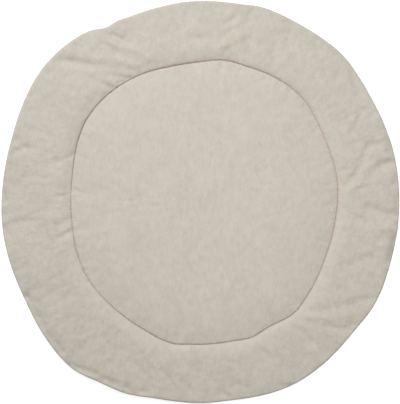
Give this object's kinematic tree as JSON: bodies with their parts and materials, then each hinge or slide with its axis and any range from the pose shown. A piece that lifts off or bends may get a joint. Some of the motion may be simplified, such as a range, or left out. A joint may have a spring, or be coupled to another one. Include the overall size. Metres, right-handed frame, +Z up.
{
  "type": "round padded baby play mat",
  "caption": "Round padded play mat of soft velour filled with wadding, with a ring of stitching between a puffy outer ring and a flatter centre; it lies flat on the floor.",
  "frame": {"origin": "on the floor, under the middle of the mat", "axes": "+Z up out of the mat's top; +Y towards the edge that is at the top of the picture; +X to its right"},
  "size_m": [0.9965, 1.0074, 0.029],
  "materials": {
    "velour": "soft short-pile cotton velour, pale warm greige, matt with a faint sheen at grazing angles"
  },
  "bodies": {
    "root": {"padded_mat": "velour"}
  },
  "joints": []
}
